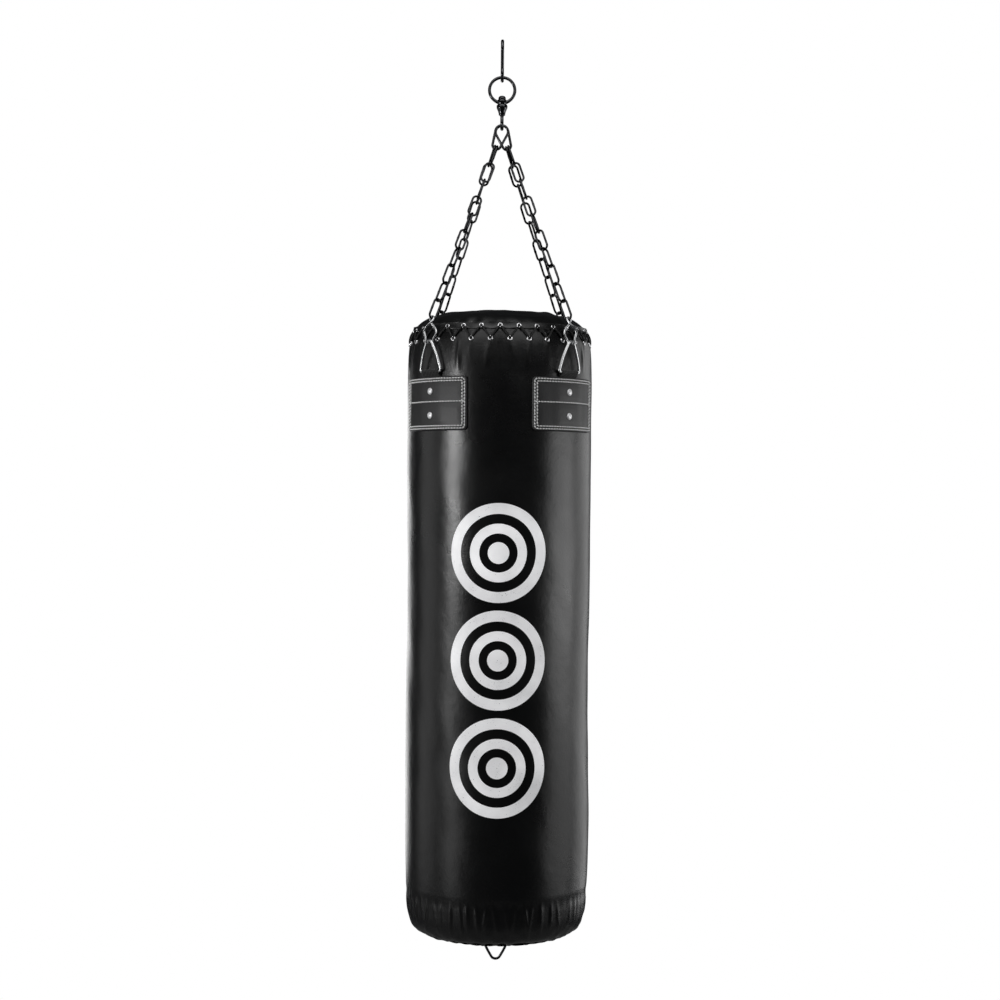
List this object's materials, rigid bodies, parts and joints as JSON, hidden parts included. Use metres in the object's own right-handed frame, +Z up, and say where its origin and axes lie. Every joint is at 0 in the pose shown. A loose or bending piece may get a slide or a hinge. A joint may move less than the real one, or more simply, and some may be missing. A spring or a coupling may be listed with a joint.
{
  "type": "hanging punch bag",
  "caption": "Cylindrical hanging punch bag of laced black leather, on chains from a swivel and an S-hook, with a ring under its base.",
  "frame": {"origin": "the hanging point, the inside top of the S-hook's upper curl", "axes": "+Z up along the hanging bag's axis, front at -Y, +X to the right seen from the front"},
  "size_m": [0.355, 0.355, 1.7761],
  "materials": {
    "hook_steel": "bright plated wire",
    "swivel_steel": "plated forging",
    "link_steel": "bright plated wire",
    "chain_steel": "zinc plated welded chain",
    "ring_steel": "bright plated wire",
    "rivet_steel": "nickel plated dome",
    "bag_leather": "satin coated synthetic leather",
    "patch_leather": "matte grained synthetic leather",
    "strap_webbing": "woven webbing",
    "lace_cord": "braided cord",
    "foam": "closed cell foam",
    "textile": "packed textile shreds"
  },
  "bodies": {
    "hook": {"s_hook": "hook_steel"},
    "ring": {"swivel_ring": "swivel_steel"},
    "swivel": {"swivel_pin": "swivel_steel", "swivel_eye": "swivel_steel"},
    "bag": {"top_link_left": "link_steel", "top_link_right": "link_steel", "chain_front_left": "chain_steel", "connector_front_left": "link_steel", "d_ring_front_left": "ring_steel", "strap_front_left": "strap_webbing", "patch_front_left": "patch_leather", "rivet_front_left_1": "rivet_steel", "rivet_front_left_2": "rivet_steel", "chain_front_right": "chain_steel", "connector_front_right": "link_steel", "d_ring_front_right": "ring_steel", "strap_front_right": "strap_webbing", "patch_front_right": "patch_leather", "rivet_front_right_1": "rivet_steel", "rivet_front_right_2": "rivet_steel", "chain_back_left": "chain_steel", "connector_back_left": "link_steel", "d_ring_back_left": "ring_steel", "strap_back_left": "strap_webbing", "patch_back_left": "patch_leather", "rivet_back_left_1": "rivet_steel", "rivet_back_left_2": "rivet_steel", "chain_back_right": "chain_steel", "connector_back_right": "link_steel", "d_ring_back_right": "ring_steel", "strap_back_right": "strap_webbing", "patch_back_right": "patch_leather", "rivet_back_right_1": "rivet_steel", "rivet_back_right_2": "rivet_steel", "outer_shell": "bag_leather", "top_cover": "bag_leather", "closure_flap": "bag_leather", "lace": "lace_cord", "foam_liner": "foam", "top_pad": "foam", "textile_fill": "textile", "base_panel": "bag_leather", "base_tab": "strap_webbing"},
    "base_ring": {"base_ring": "ring_steel"}
  },
  "joints": [
    {"name": "ring_swing", "type": "hinge", "parent": "hook", "child": "ring", "pos_m": [0, 0, -0.067], "axis": [1, 0, 0], "range_deg": [-45, 45]},
    {"name": "swivel_spin", "type": "hinge", "parent": "ring", "child": "swivel", "pos_m": [0, 0, -0.1147], "axis": [0, 0, 1], "continuous": true},
    {"name": "bag_swing", "type": "hinge", "parent": "swivel", "child": "bag", "pos_m": [0, 0, -0.1664], "axis": [0, 1, 0], "range_deg": [-35, 35]},
    {"name": "base_ring_swing", "type": "hinge", "parent": "bag", "child": "base_ring", "pos_m": [0, 0, -1.7183], "axis": [1, 0, 0], "range_deg": [-80, 80]}
  ]
}
